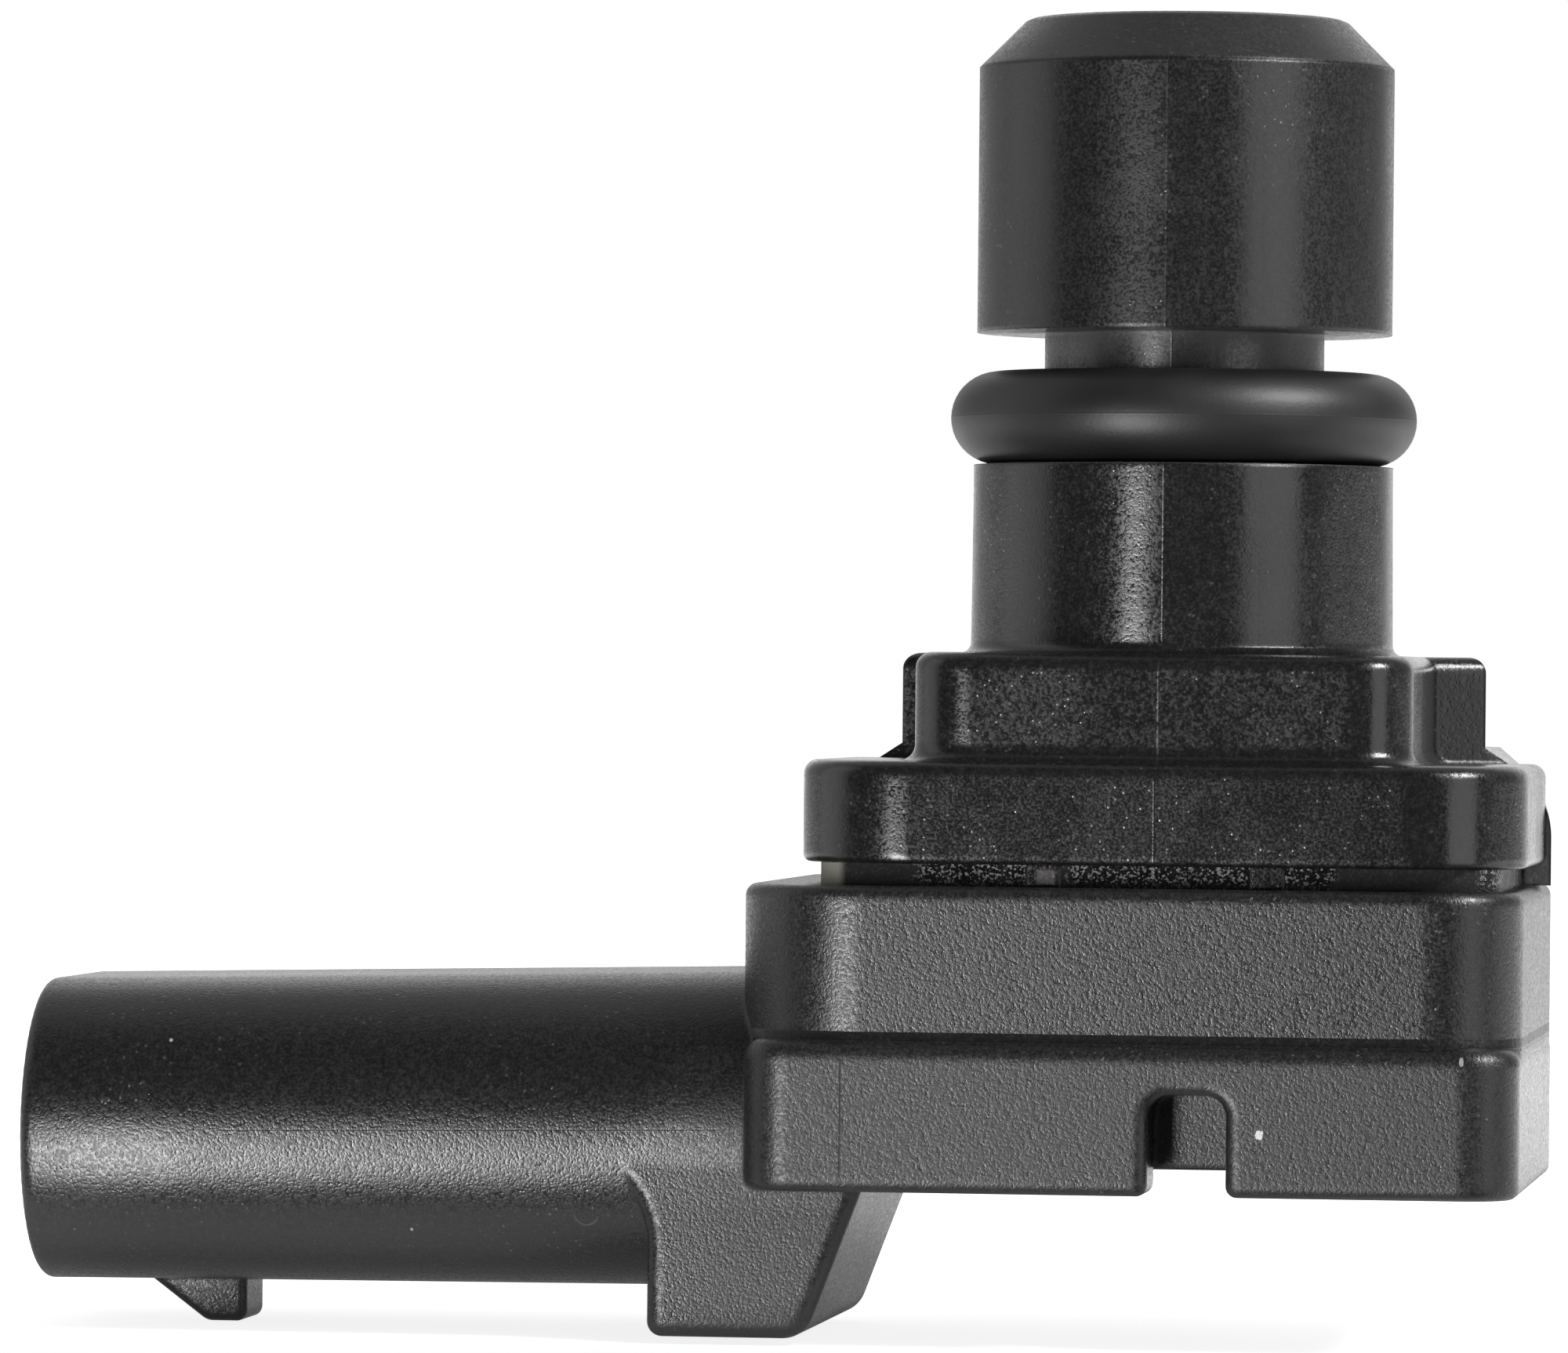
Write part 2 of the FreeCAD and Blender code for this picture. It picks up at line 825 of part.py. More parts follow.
def terminal(y):
    """One blade: a pin in the socket, a riser in the wall and a tab in the cavity."""
    tip = -mouth_reach + blade_recess
    tab_level = cavity_floor + blade_thickness / 2
    path = [
        Vector(tip, y, mouth_axis),
        Vector(-blade_riser, y, mouth_axis),
        Vector(-blade_riser, y, tab_level),
        Vector(-blade_tab_end, y, tab_level),
    ]
    low = mouth_axis - blade_thickness / 2
    high = mouth_axis + blade_thickness / 2
    near = y - blade_width / 2
    far = y + blade_width / 2
    section = Part.makePolygon([
        Vector(tip, near, low),
        Vector(tip, far, low),
        Vector(tip, far, high),
        Vector(tip, near, high),
        Vector(tip, near, low),
    ])
    blade = swept(path, blade_bend, section)
    point = [edge for edge in blade.Edges if edge.BoundBox.XMax < tip + pick_margin]
    return blade.makeChamfer(blade_tip_chamfer, point)


def housing(terminals):
    """Body, skirt, shroud, neck and latch wedge in one moulding round the terminals."""
    solid = housing_body().fuse([shroud(), neck_block(), latch_wedge()]).removeSplitter()
    solid = solid.cut(cavity_block(cavity_floor, joint_level + overrun, 0))
    solid = solid.cut(socket())
    return solid.cut(terminals).removeSplitter()


def substrate_adhesive():
    """The glue that holds the ceramic board on the cavity floor."""
    margin = 2 * glue_thickness
    return box_between(
        -substrate_left + margin,
        substrate_right - margin,
        -substrate_half_depth + margin,
        substrate_half_depth - margin,
        cavity_floor,
        substrate_base,
    )


def circuit_substrate():
    """The ceramic board that carries the electronics."""
    return box_between(
        -substrate_left,
        substrate_right,
        -substrate_half_depth,
        substrate_half_depth,
        substrate_base,
        substrate_top,
    )


def die_glue():
    half = die_size / 2 + die_glue_margin
    return box_between(
        die_place - half,
        die_place + half,
        -half,
        half,
        substrate_top,
        substrate_top + die_glue_thickness,
    )


def glass_pedestal():
    """The glass block that closes the vacuum below the diaphragm."""
    half = die_size / 2
    low = substrate_top + die_glue_thickness
    return box_between(die_place - half, die_place + half, -half, half, low, die_base)


def square_wire(half, level):
    return Part.makePolygon([
        Vector(die_place - half, -half, level),
        Vector(die_place + half, -half, level),
        Vector(die_place + half, half, level),
        Vector(die_place - half, half, level),
        Vector(die_place - half, -half, level),
    ])


def pressure_die():
    """The silicon die, etched from below to leave a thin square diaphragm."""
    half = die_size / 2
    block = box_between(die_place - half, die_place + half, -half, half, die_base, die_top)
    etched = Part.makeLoft(
        [
            square_wire(die_cavity_size / 2, die_base),
            square_wire(diaphragm_size / 2, die_top - diaphragm_thickness),
        ],
        True,
        True,
    )
    return block.cut(etched)


def signal_chip():
    """The chip that amplifies and trims the signal."""
    return box_between(
        chip_place - chip_length / 2,
        chip_place + chip_length / 2,
        -chip_width / 2,
        chip_width / 2,
        substrate_top,
        chip_top,
    )


def filter_capacitor(x, y):
    """A chip capacitor: a ceramic body between two metal end caps."""
    half = capacitor_length / 2
    side = capacitor_width / 2
    body = box_between(
        x - half,
        x + half,
        y - side + capacitor_relief,
        y + side - capacitor_relief,
        substrate_top + capacitor_relief,
        substrate_top + capacitor_width - capacitor_relief,
    )
    caps = []
    for left in (x - half, x + half - capacitor_cap):
        caps.append(box_between(
            left,
            left + capacitor_cap,
            y - side,
            y + side,
            substrate_top,
            substrate_top + capacitor_width,
        ))
    return body.fuse(caps)


def gel_dam():
    """The frame on the board that keeps the gel round the die and the chip."""
    bottom = substrate_top
    top = substrate_top + dam_height
    radii = [dam_corner] * 4
    outer = plan_block(-dam_left, dam_right, -dam_half_depth, dam_half_depth, bottom, top, radii)
    return outer.cut(dam_inside(bottom - overrun, top + overrun))


def dam_inside(bottom, top):
    return plan_block(
        -dam_left + dam_wall,
        dam_right - dam_wall,
        -dam_half_depth + dam_wall,
        dam_half_depth - dam_wall,
        bottom,
        top,
        [dam_corner - dam_wall] * 4,
    )


def bond_wire(start_x, start_level, end_x, end_level, y):
    """A bonded wire that rises from one pad, runs level and comes down on the other."""
    loop_level = max(start_level, end_level) + wire_rise
    path = [
        Vector(start_x, y, start_level),
        Vector(start_x, y, loop_level),
        Vector(end_x, y, loop_level),
        Vector(end_x, y, end_level),
    ]
    section = Part.Wire(Part.makeCircle(wire_radius, path[0], up))
    return swept(path, wire_bend, section)


def wire_rows(count):
    """Places across the board for a row of wires."""
    return [(i - (count - 1) / 2) * wire_pitch for i in range(count)]


def die_bond_wires():
    """Wires from the pressure die to the signal chip."""
    start = die_place - die_size / 2 + wire_inset
    end = chip_place + chip_length / 2 - wire_inset
    rows = wire_rows(die_wire_count)
    return Part.makeCompound([bond_wire(start, die_top, end, chip_top, y) for y in rows])


def chip_bond_wires():
    """Wires from the signal chip to the board inside the dam."""
    start = chip_place - chip_length / 2 + wire_inset
    end = -dam_left + dam_wall + wire_landing
    rows = wire_rows(chip_wire_count)
    return Part.makeCompound([bond_wire(start, chip_top, end, substrate_top, y) for y in rows])


def terminal_bond_wires():
    """Wires from the terminal tabs to the board."""
    start = -blade_tab_end - wire_landing
    end = -substrate_left + wire_landing
    rows = [-blade_pitch, 0, blade_pitch]
    return Part.makeCompound([bond_wire(start, tab_top, end, substrate_top, y) for y in rows])


def protective_gel(covered):
    """The soft gel that passes pressure to the die and keeps moisture off it."""
    half = die_size / 2
    top = substrate_top + dam_height - gel_freeboard
    whole_die = box_between(die_place - half, die_place + half, -half, half, die_base, die_top)
    return dam_inside(substrate_top, top).cut([whole_die] + covered)


blades = {
    "terminal_supply": terminal(-blade_pitch),
    "terminal_ground": terminal(0),
    "terminal_signal": terminal(blade_pitch),
}
pedestal = glass_pedestal()
die = pressure_die()
chip = signal_chip()
glue = die_glue()
die_wires = die_bond_wires()
chip_wires = chip_bond_wires()

parts = {
    "port_cover": port_cover(),
    "port_seal_ring": port_seal_ring(),
    "mounting_sleeve": mounting_sleeve(),
    "cover_adhesive": cover_adhesive(),
    "housing": housing(list(blades.values())),
    "substrate_adhesive": substrate_adhesive(),
    "circuit_substrate": circuit_substrate(),
    "die_attach_adhesive": glue,
    "glass_pedestal": pedestal,
    "pressure_die": die,
    "signal_chip": chip,
    "gel_dam": gel_dam(),
    "die_bond_wires": die_wires,
    "chip_bond_wires": chip_wires,
    "terminal_bond_wires": terminal_bond_wires(),
    "protective_gel": protective_gel([glue, pedestal, chip, die_wires, chip_wires]),
}
parts.update(blades)
capacitor_places = (capacitor_middle - capacitor_pitch / 2, capacitor_middle + capacitor_pitch / 2)
capacitor_spots = [(x, y) for y in (-capacitor_row, capacitor_row) for x in capacitor_places]
for number, (x, y) in enumerate(capacitor_spots, 1):
    parts["filter_capacitor_" + str(number)] = filter_capacitor(x, y)

os.makedirs("parts", exist_ok=True)
for name, shape in parts.items():
    print(name, len(shape.Solids), shape.isValid(), round(shape.Volume, 3))
    shape.exportStep("parts/" + name + ".step")
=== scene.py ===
import math

import bpy
from mathutils import Matrix, Vector


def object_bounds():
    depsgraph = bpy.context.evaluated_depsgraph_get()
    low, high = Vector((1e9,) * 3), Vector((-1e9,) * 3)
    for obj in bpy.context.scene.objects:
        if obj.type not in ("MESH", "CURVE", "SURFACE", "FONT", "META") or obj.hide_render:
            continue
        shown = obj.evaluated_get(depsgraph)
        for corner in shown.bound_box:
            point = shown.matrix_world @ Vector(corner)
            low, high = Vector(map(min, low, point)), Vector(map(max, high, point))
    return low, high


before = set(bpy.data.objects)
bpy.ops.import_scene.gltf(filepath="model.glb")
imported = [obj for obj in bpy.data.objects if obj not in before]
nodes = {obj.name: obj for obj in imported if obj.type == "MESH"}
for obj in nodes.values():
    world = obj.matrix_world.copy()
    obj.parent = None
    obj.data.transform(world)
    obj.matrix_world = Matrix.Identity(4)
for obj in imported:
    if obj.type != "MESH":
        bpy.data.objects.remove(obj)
cad_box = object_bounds()
scene = bpy.context.scene
MM = 0.001
MICRON = 0.000001

scene.view_settings.view_transform = "Standard"


def mm(*sizes):
    """Millimetres as metres."""
    return tuple(size * MM for size in sizes)


# Camera, fitted to the photo: level with the pad, a little to the right of the port
CAMERA_PLACE = mm(26.3, -288.03, -0.73)
CAMERA_AZIMUTH = 7.45
CAMERA_ROLL = 0.55
LENS = 234.0
SENSOR_WIDTH = 36.0
CLIP_START = 0.01
CLIP_END = 20.0


def make_camera():
    """A long lens at the photo's place."""
    data = bpy.data.cameras.new("photo_camera")
    data.lens = LENS
    data.sensor_width = SENSOR_WIDTH
    data.clip_start = CLIP_START
    data.clip_end = CLIP_END
    camera = bpy.data.objects.new("photo_camera", data)
    scene.collection.objects.link(camera)
    azimuth = Matrix.Rotation(math.radians(CAMERA_AZIMUTH), 4, "Z")
    upright = Matrix.Rotation(math.radians(90), 4, "X")
    roll = Matrix.Rotation(math.radians(CAMERA_ROLL), 4, "Z")
    camera.matrix_world = Matrix.Translation(CAMERA_PLACE) @ azimuth @ upright @ roll
    scene.camera = camera


make_camera()


# Node trees
class Graph:
    """Short calls for the nodes of one tree."""

    def __init__(self, tree):
        self.tree = tree

    def add(self, kind, **values):
        node = self.tree.nodes.new(kind)
        for key, value in values.items():
            setattr(node, key, value)
        return node

    def link(self, source, target):
        self.tree.links.new(source, target)

    def feed(self, socket, value):
        """Links an input to an output, or sets it to a constant."""
        if hasattr(value, "is_output"):
            self.link(value, socket)
        else:
            socket.default_value = value

    def math(self, op, a, b=0.0):
        node = self.add("ShaderNodeMath", operation=op)
        self.feed(node.inputs[0], a)
        self.feed(node.inputs[1], b)
        return node.outputs[0]

    def chain(self, op, terms):
        result = terms[0]
        for term in terms[1:]:
            result = self.math(op, result, term)
        return result

    def total(self, *terms):
        return self.chain("ADD", terms)

    def product(self, *terms):
        return self.chain("MULTIPLY", terms)

    def span(self, value, low, high, to_low=0.0, to_high=1.0, smooth=False):
        """Maps the run between two values to two levels, and holds them beyond it."""
        kind = "SMOOTHSTEP" if smooth else "LINEAR"
        node = self.add("ShaderNodeMapRange", interpolation_type=kind, clamp=True)
        self.feed(node.inputs[0], value)
        for i, number in enumerate((low, high, to_low, to_high)):
            node.inputs[1 + i].default_value = number
        return node.outputs[0]

    def ramp(self, value, stops):
        """A run of greys or colours along a value."""
        node = self.add("ShaderNodeValToRGB")
        self.link(value, node.inputs[0])
        line = node.color_ramp.elements
        while len(line) < len(stops):
            line.new(0.5)
        for element, (spot, tone) in zip(line, stops):
            element.position = spot
            element.color = (*(grey(tone) if isinstance(tone, float) else tone), 1.0)
        return node.outputs[0]

    def axes(self, vector):
        node = self.add("ShaderNodeSeparateXYZ")
        self.link(vector, node.inputs[0])
        return node.outputs[0], node.outputs[1], node.outputs[2]

    def seen(self):
        """One for a ray from the camera or through glass, and none for light or gloss."""
        path = self.add("ShaderNodeLightPath").outputs
        return self.math("MAXIMUM", path["Is Camera Ray"], path["Is Transmission Ray"])


def grey(tone):
    return (tone, tone, tone)


class Shade(Graph):
    """A material with a Principled shader, laid out in the part's own coordinates."""

    SHORT_EDGE = 0.02 * MM
    RAGGED_SCALE = 9000.0
    BEVEL_SAMPLES = 6

    def __init__(self, name):
        self.mat = bpy.data.materials.new(name)
        self.mat.use_nodes = True
        super().__init__(self.mat.node_tree)
        self.bsdf = self.tree.nodes["Principled BSDF"]
        self.place = self.add("ShaderNodeTexCoord").outputs["Object"]

    def noise(self, scale, detail=2.0, rough=0.5, stretch=None):
        node = self.add("ShaderNodeTexNoise")
        node.inputs["Scale"].default_value = scale
        node.inputs["Detail"].default_value = detail
        node.inputs["Roughness"].default_value = rough
        self.link(self.stretched(stretch) if stretch else self.place, node.inputs["Vector"])
        return node.outputs["Fac"]

    def stretched(self, stretch):
        node = self.add("ShaderNodeMapping")
        node.inputs["Scale"].default_value = stretch
        self.link(self.place, node.inputs["Vector"])
        return node.outputs[0]

    def cells(self, scale):
        node = self.add("ShaderNodeTexVoronoi")
        node.inputs["Scale"].default_value = scale
        self.link(self.place, node.inputs["Vector"])
        return node.outputs

    def blend(self, share, a, b):
        """Colour a where the share is none, and colour b where it is one."""
        node = self.add("ShaderNodeMix", data_type="RGBA")
        self.feed(node.inputs[0], share)
        for socket, value in ((node.inputs[6], a), (node.inputs[7], b)):
            self.feed(socket, (*value, 1.0) if isinstance(value, tuple) else value)
        return node.outputs[2]

    def facing(self, axis):
        """The surface's own direction along an axis of the part."""
        return self.axes(self.add("ShaderNodeNewGeometry").outputs["Normal"])[axis]

    def within(self, value, low, high, edge=SHORT_EDGE):
        """One between two places and none outside, with a short run at each end."""
        return self.product(
            self.span(value, low - edge, low + edge),
            self.span(value, high - edge, high + edge, 1.0, 0.0),
        )

    def away(self, value, place):
        return self.math("SUBTRACT", value, place)

    def distance(self, u, v):
        return self.math("SQRT", self.total(self.product(u, u), self.product(v, v)))

    def spot(self, a, b, centre, half, ragged=0.0):
        """A patch about a point in the plane of two axes, with an edge that may be ragged."""
        reach = self.distance(
            self.product(self.away(a, centre[0] * MM), 1.0 / (half[0] * MM)),
            self.product(self.away(b, centre[1] * MM), 1.0 / (half[1] * MM)),
        )
        if ragged:
            uneven = self.noise(self.RAGGED_SCALE, 2.0, 0.6)
            reach = self.total(reach, self.product(self.away(uneven, 0.5), ragged))
        return self.span(reach, 0.85, 1.1, 1.0, 0.0)

    def crease(self, value, place, half):
        """A narrow line where a value passes a place."""
        offset = self.math("ABSOLUTE", self.away(value, place))
        return self.span(offset, 0.0, half, 1.0, 0.0, smooth=True)

    def relief(self, height, soften=0.0):
        """Bumps from a height in metres, over edges softened by a radius in metres."""
        node = self.add("ShaderNodeBump")
        node.inputs["Strength"].default_value = 1.0
        node.inputs["Distance"].default_value = 1.0
        self.link(height, node.inputs["Height"])
        if soften:
            edges = self.add("ShaderNodeBevel", samples=self.BEVEL_SAMPLES)
            edges.inputs["Radius"].default_value = soften
            self.link(edges.outputs[0], node.inputs["Normal"])
        self.link(node.outputs[0], self.bsdf.inputs["Normal"])

    def set(self, **values):
        for key, value in values.items():
            self.feed(self.bsdf.inputs[key.replace("_", " ")], value)


# Moulded plastic
PLASTIC_TONE = 0.009
PLASTIC_IOR = 1.6
FINE_SCALE = 12500.0
MID_SCALE = 5200.0
CLOUD_SCALE = 330.0
DRIFT_SCALE = 60.0
SPECK_SCALE = 9000.0
SPECK_COLOUR = (0.12, 0.12, 0.116)
MID_HEIGHT = 3.5 * MICRON


class Moulding(Shade):
    """Glass-filled black plastic: a fine grain, with pale specks that gather in clouds."""

    def __init__(self, name):
        super().__init__(name)
        self.fine = self.noise(FINE_SCALE, 1.0, 0.6)
        self.mid = self.noise(MID_SCALE, 2.0, 0.55)
        self.cloud = self.span(self.noise(CLOUD_SCALE, 3.0, 0.62), 0.42, 0.62)
        self.drift = self.noise(DRIFT_SCALE, 2.0, 0.5)
        specks = self.cells(SPECK_SCALE)
        self.speck = self.product(
            self.span(specks["Color"], 0.82, 0.86),
            self.span(specks["Distance"], 0.2, 0.5, 1.0, 0.0),
            self.span(self.cloud, 0.0, 1.0, 0.12, 1.0),
        )
        grain = self.total(self.product(self.mid, 0.6), self.product(self.fine, 0.4))
        tones = [(0.3, PLASTIC_TONE * 0.6), (0.5, PLASTIC_TONE), (0.7, PLASTIC_TONE * 1.7)]
        base = self.ramp(grain, tones)
        self.colour = self.blend(self.product(self.speck, 0.4), base, SPECK_COLOUR)

    def mark(self, mask, share, tone):
        """A pale or dark mark over the plastic's own colour."""
        self.colour = self.blend(self.product(mask, share), self.colour, tone)

    def finish(self, rough, reliefs, soften):
        """Roughness about a level that may vary over the part, and the bumps."""
        gloss = self.total(
            rough,
            self.span(self.mid, 0.3, 0.7, -0.035, 0.035),
            self.span(self.fine, 0.36, 0.64, -0.09, 0.09),
            self.span(self.drift, 0.35, 0.65, -0.02, 0.02),
        )
        self.set(Base_Color=self.colour, Roughness=gloss, IOR=PLASTIC_IOR)
        self.relief(self.total(*reliefs), soften)
        return self.mat


# Places on the port cover
COVER_FRONT_Y = mm(-3.0, -2.0)
PORT_START_Z = mm(0.0, 0.2)
GROOVE_Z = mm(5.3, 9.08)
HEAD_START_Z = mm(8.5, 9.2)
HEAD_Z = mm(9.0, 18.0)
NOSE_EDGE_Z = mm(16.52, 16.6)
PAD_AND_FLANGE_Z = mm(-6.5, 0.0)
EAR_FRONT_Y = mm(3.65, 3.75)
EAR_RIGHT_X = mm(6.5, 10.5)
POST_X = mm(-3.3, -2.8)
POST_Y = mm(-6.5, -6.0)
POST_Z = mm(-6.4, -6.02)
POST_EDGE = 0.04 * MM
SEAM_X = 0.0
SEAM_HALF = 0.04 * MM
SEAM_ON_PAD_Z = mm(-2.9, -0.4)
SEAM_FADE = 0.2 * MM
COVER_SOFT_EDGE = 0.18 * MM

# Painted light: a pale grey for the seal groove, in place of light that the seal ring and the
# port's head keep off it
GROOVE_PAINTED_LIGHT = grey(0.05)
# Painted light: a pale grey for the front of a spacer post in the gap under the flange
POST_PAINTED_LIGHT = (0.16, 0.15, 0.15)
SEAM_COLOUR = (0.12, 0.12, 0.118)


def cover_material():
    """The port cover: glossier below the port's head, with draft on head, pad and flange, and
    painted light in the seal groove and on a spacer post.
    """
    s = Moulding("filled_plastic_cover")
    x, y, z = s.axes(s.place)
    front = s.span(y, *COVER_FRONT_Y, 1.0, 0.0)
    on_port = s.span(z, *PORT_START_Z)
    in_groove = s.within(z, *GROOVE_Z)
    rough = s.total(
        s.span(z, *HEAD_START_Z, 0.175, 0.29, smooth=True),
        s.product(s.cloud, 0.07),
        s.product(in_groove, 0.14),
    )
    # Painted light: the seal groove is painted lighter, in place of light that the seal ring
    # and the port's head keep off it
    s.mark(in_groove, 0.8, GROOVE_PAINTED_LIGHT)
    # Painted light: the front of a spacer post in the gap under the flange is painted pale, in
    # place of light that the gap keeps off it
    post_light_mask = s.product(
        s.within(x, *POST_X, POST_EDGE),
        s.within(z, *POST_Z, POST_EDGE),
        s.span(y, *POST_Y, 1.0, 0.0),
    )
    s.mark(post_light_mask, 0.9, POST_PAINTED_LIGHT)
    ear_lean = s.product(s.span(y, *EAR_FRONT_Y), s.span(x, *EAR_RIGHT_X, 0.0, -1.7 * MM))
    draft = s.total(
        s.span(z, *HEAD_Z, 0.0, -0.55 * MM),
        s.span(z, *PAD_AND_FLANGE_Z, 0.25 * MM, 0.0),
        ear_lean,
    )
    seam = s.crease(x, SEAM_X, SEAM_HALF)
    mould_step = s.product(on_port, s.total(
        s.span(x, SEAM_X, 1.2 * MM, 0.0, -0.06 * MM),
        s.span(x, SEAM_X, 2.6 * MM, 0.0, -0.08 * MM),
    ))
    nose_edge = s.span(z, *NOSE_EDGE_Z, 0.0, -34 * MICRON)
    on_pad = s.within(z, *SEAM_ON_PAD_Z, SEAM_FADE)
    pale_seam = s.product(seam, front, on_pad, s.span(s.mid, 0.35, 0.6))
    s.mark(pale_seam, 0.5, SEAM_COLOUR)
    return s.finish(rough, [
        s.product(s.total(s.cloud, 0.4), s.product(s.fine, 4 * MICRON)),
        s.product(s.mid, MID_HEIGHT),
        s.product(s.speck, 8 * MICRON),
        draft,
        s.product(seam, 5 * MICRON),
        mould_step,
        nose_edge,
    ], COVER_SOFT_EDGE)


# Places on the housing
NECK_TO_BODY_X = mm(-15.0, -11.2)
SKIRT_TOP_Z = mm(-11.3, -10.8)
BOX_START_X = mm(-11.7, -11.5)
BOX_WALL_Z = mm(-15.5, -6.5)
SHROUD_FLARE_X = mm(-37.0, -27.0)
LEDGE_RISE_Z = mm(-10.78, -10.52)
LEDGE_START_Z = mm(-10.88, -10.8)
TOOL_LINE_X = -8.52 * MM
TOOL_LINE_Z = mm(-14.5, -11.25)
PARTING_Z = -13.34 * MM
PARTING_X = mm(-25.8, -12.5)
PARTING_PIVOT_X = -12.5 * MM
PARTING_SLOPE = -0.0158
PARTING_FADE = 0.6 * MM
LINE_HALF = 0.03 * MM
CRESCENT_CENTRE = mm(-15.88, -15.75)
CRESCENT_RADIUS = 0.34 * MM
CRESCENT_HALF = 0.04 * MM
CRESCENT_TOP_Z = mm(-15.85, -15.8)
SCUFF_Z = mm(-11.03, -10.97)
SCUFF_X = mm(-10.1, -2.5)
SCUFF_FADE = 0.3 * MM
SCUFF_SCALE = 2600.0
HOUSING_SOFT_EDGE = 0.28 * MM

# Centre and half size of the patches on its front, in mm along X and Z
DUST_CHIP = ((3.08, -13.19), (0.12, 0.15))
NICK = ((8.61, -11.11), (0.06, 0.13))
DUST_SPECKS = (
    ((-27.75, -11.1), (0.05, 0.05)),
    ((-20.86, -16.3), (0.045, 0.045)),
    ((9.9, -12.4), (0.04, 0.09)),
)

SCUFF_COLOUR = (0.14, 0.14, 0.138)
NICK_COLOUR = grey(0.3)
DUST_COLOUR = grey(0.35)
CHIP_COLOUR = (0.6, 0.6, 0.59)


def housing_material():
    """The housing: a matt, sparkling skin, with draft on the body, skirt and shroud."""
    s = Moulding("filled_plastic_housing")
    x, y, z = s.axes(s.place)
    beside = s.span(x, *NECK_TO_BODY_X, smooth=True)
    lower = s.span(z, *SKIRT_TOP_Z, 1.0, 0.0, smooth=True)
    right_flank = s.span(s.facing(0), 0.75, 0.97)
    rough = s.total(
        s.product(beside, lower, 0.07),
        s.product(beside, right_flank, s.span(z, *SKIRT_TOP_Z, -0.18, -0.03, smooth=True)),
        s.product(beside, 0.045),
        0.295,
    )
    front = s.span(s.facing(1), -0.8, -0.6, 1.0, 0.0)
    upright = s.span(s.math("ABSOLUTE", s.facing(2)), 0.3, 0.5, 1.0, 0.0)
    on_box = s.span(x, *BOX_START_X)
    draft = s.total(
        s.product(beside, s.span(z, *BOX_WALL_Z, 0.0, 0.24 * MM)),
        s.span(x, *SHROUD_FLARE_X, -0.6 * MM, 0.0, smooth=True),
    )
    ledge = s.product(
        on_box,
        upright,
        s.span(z, *LEDGE_RISE_Z, 0.26 * MM, 0.0),
        s.span(z, *LEDGE_START_Z),
    )
    tool_line = s.product(
        front, s.crease(x, TOOL_LINE_X, LINE_HALF), s.within(z, *TOOL_LINE_Z),
    )
    sloped = s.total(z, s.product(s.away(x, PARTING_PIVOT_X), PARTING_SLOPE))
    parting = s.product(
        front,
        s.crease(sloped, PARTING_Z, LINE_HALF),
        s.within(x, *PARTING_X, PARTING_FADE),
    )
    bow = s.distance(s.away(x, CRESCENT_CENTRE[0]), s.away(z, CRESCENT_CENTRE[1]))
    crescent = s.product(
        front,
        s.crease(bow, CRESCENT_RADIUS, CRESCENT_HALF),
        s.span(z, *CRESCENT_TOP_Z, 1.0, 0.0),
    )
    scuffs = s.product(
        upright,
        s.within(z, *SCUFF_Z),
        s.within(x, *SCUFF_X, SCUFF_FADE),
        s.span(s.noise(SCUFF_SCALE, 2.0, 0.6), 0.59, 0.63),
    )
    chip = s.product(front, s.spot(x, z, *DUST_CHIP, ragged=1.8))
    nick = s.product(front, s.spot(x, z, *NICK, ragged=0.6))
    dust = s.product(front, s.total(*[s.spot(x, z, *speck) for speck in DUST_SPECKS]))
    s.mark(crescent, 0.35, SCUFF_COLOUR)
    s.mark(scuffs, 0.6, SCUFF_COLOUR)
    s.mark(nick, 0.9, NICK_COLOUR)
    s.mark(dust, 0.9, DUST_COLOUR)
    s.mark(chip, 1.0, CHIP_COLOUR)
    return s.finish(rough, [
        s.product(s.fine, 13 * MICRON),
        s.product(s.mid, MID_HEIGHT),
        s.product(s.speck, 12 * MICRON),
        draft,
        ledge,
        s.product(tool_line, -10 * MICRON),
        s.product(parting, -7 * MICRON),
        s.product(crescent, 6 * MICRON),
        s.product(chip, 30 * MICRON),
    ], HOUSING_SOFT_EDGE)


# Seal ring
RING_MID_Z = 6.66 * MM
RING_LINE_HALF = 0.04 * MM
RING_SOFT_EDGE = 0.3 * MM


def rubber_material():
    """Satin black rubber, with the mould's line round its outside."""
    s = Shade("seal_rubber")
    fine = s.noise(9000.0, 2.0, 0.5)
    wide = s.noise(400.0, 2.0, 0.5)
    z = s.axes(s.place)[2]
    line = s.crease(z, RING_MID_Z, RING_LINE_HALF)
    s.set(
        Base_Color=s.ramp(wide, [(0.3, 0.006), (0.7, 0.01)]),
        Roughness=s.span(wide, 0.3, 0.7, 0.43, 0.49),
        IOR=1.55,
    )
    s.relief(s.total(s.product(fine, 4 * MICRON), s.product(line, 3 * MICRON)), RING_SOFT_EDGE)
    return s.mat


# The stretches of the bead where pale grit was squeezed out, along its front
GRIT_RUNS_X = (mm(-6.6, -3.5), mm(-2.4, 2.7), mm(3.4, 4.9))
GRIT_RUN_FADE = 0.2 * MM
GRIT_RIGHT_X = mm(8.8, 9.2)
GRIT_BEHIND_Y = mm(-6.0, -5.0)
# Heights over which painted shade fades the pale grit towards the bottom of the gap under the
# flange
GRIT_SHADE_FADE_Z = mm(-6.42, -6.22)
BEAD_LEFT_END_X = mm(-8.9, -8.6)
BEAD_FRONT_Y = mm(-5.0, -4.0)
GRIT_COLOUR = grey(0.4)
LEFT_END_COLOUR = (0.3, 0.3, 0.25)
SEALANT_TONE = 0.02


